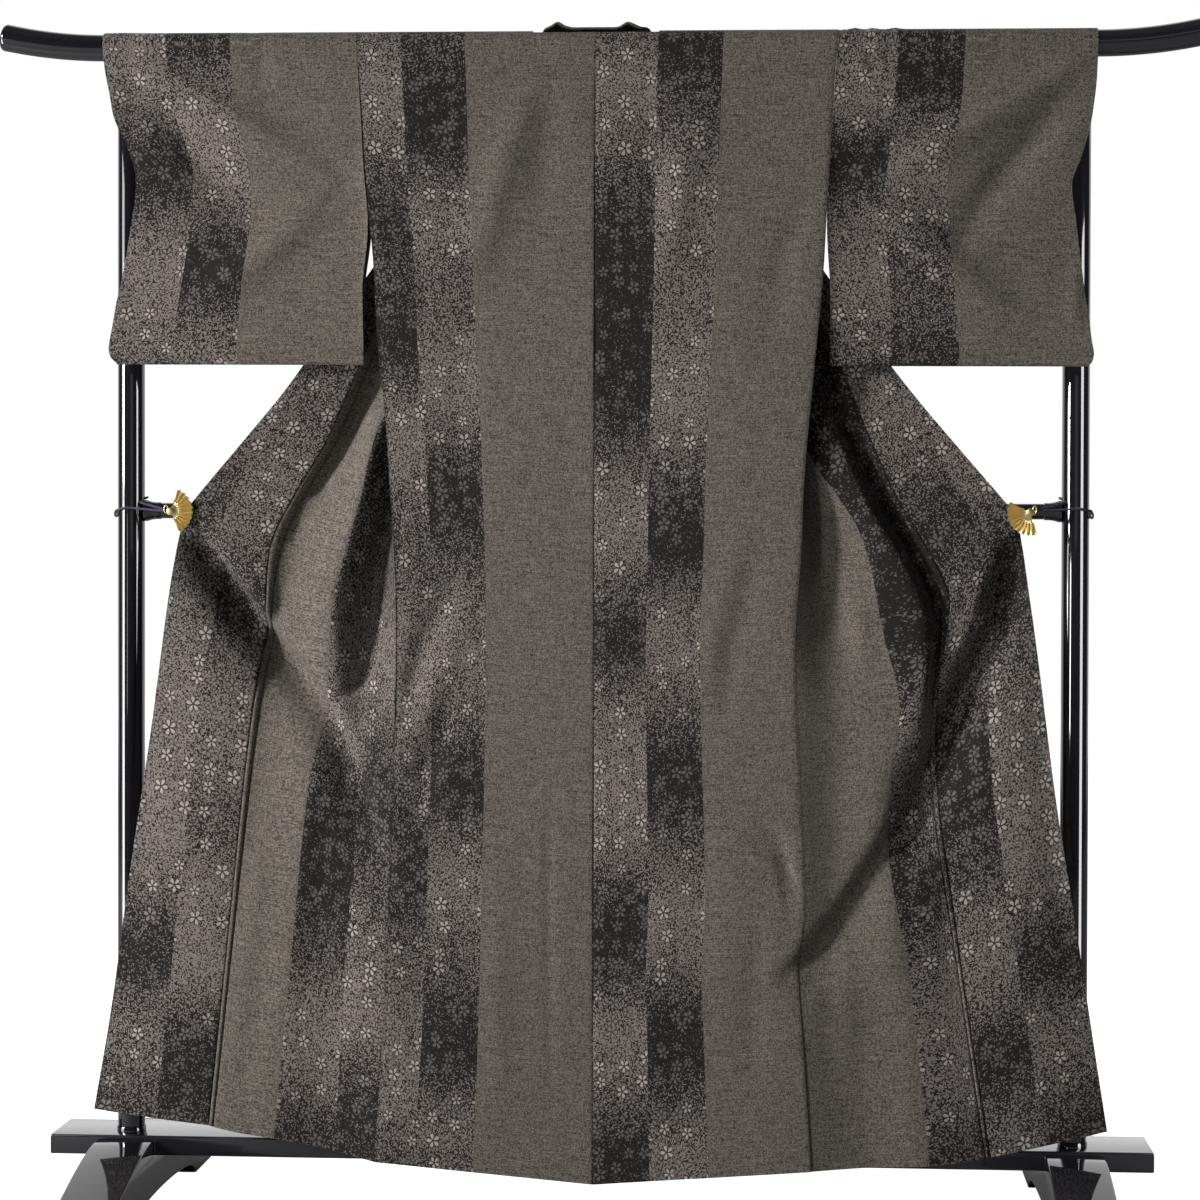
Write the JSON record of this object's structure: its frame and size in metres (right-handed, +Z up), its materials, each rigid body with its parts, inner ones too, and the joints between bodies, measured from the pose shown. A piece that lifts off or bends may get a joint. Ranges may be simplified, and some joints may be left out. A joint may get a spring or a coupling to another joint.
{
  "type": "yukata on a kimono stand",
  "caption": "Unlined kimono-cut robe hung open on a lacquered stand, back to the viewer, its fronts swung out and tied to the posts with small fan clips.",
  "frame": {"origin": "on the floor, at the middle of the box that holds the whole part", "axes": "+Z up, X along the hanging rod, -Y the side that the back of the garment faces"},
  "size_m": [1.6838, 0.678, 1.6819],
  "materials": {
    "cloth": "woven cotton, dark brown-grey with banded small-flower columns",
    "lacquer": "glossy black lacquer",
    "gilt": "polished gold",
    "cord": "thin braided purple cord"
  },
  "bodies": {
    "root": {"body_left": "cloth", "body_right": "cloth", "okumi_left": "cloth", "okumi_right": "cloth", "sleeve_left": "cloth", "sleeve_right": "cloth", "collar": "cloth", "rod": "lacquer", "rail": "lacquer", "plank": "lacquer", "post_left": "lacquer", "post_right": "lacquer", "post_socket_left": "lacquer", "post_socket_right": "lacquer", "foot_left": "lacquer", "foot_right": "lacquer", "rail_cup_left": "lacquer", "rail_cup_right": "lacquer", "rod_holder_left": "lacquer", "rod_holder_right": "lacquer", "fan_left": "gilt", "fan_right": "gilt", "fan_clip_left": "gilt", "fan_clip_right": "gilt", "tie_left": "cord", "tie_right": "cord"}
  },
  "joints": []
}
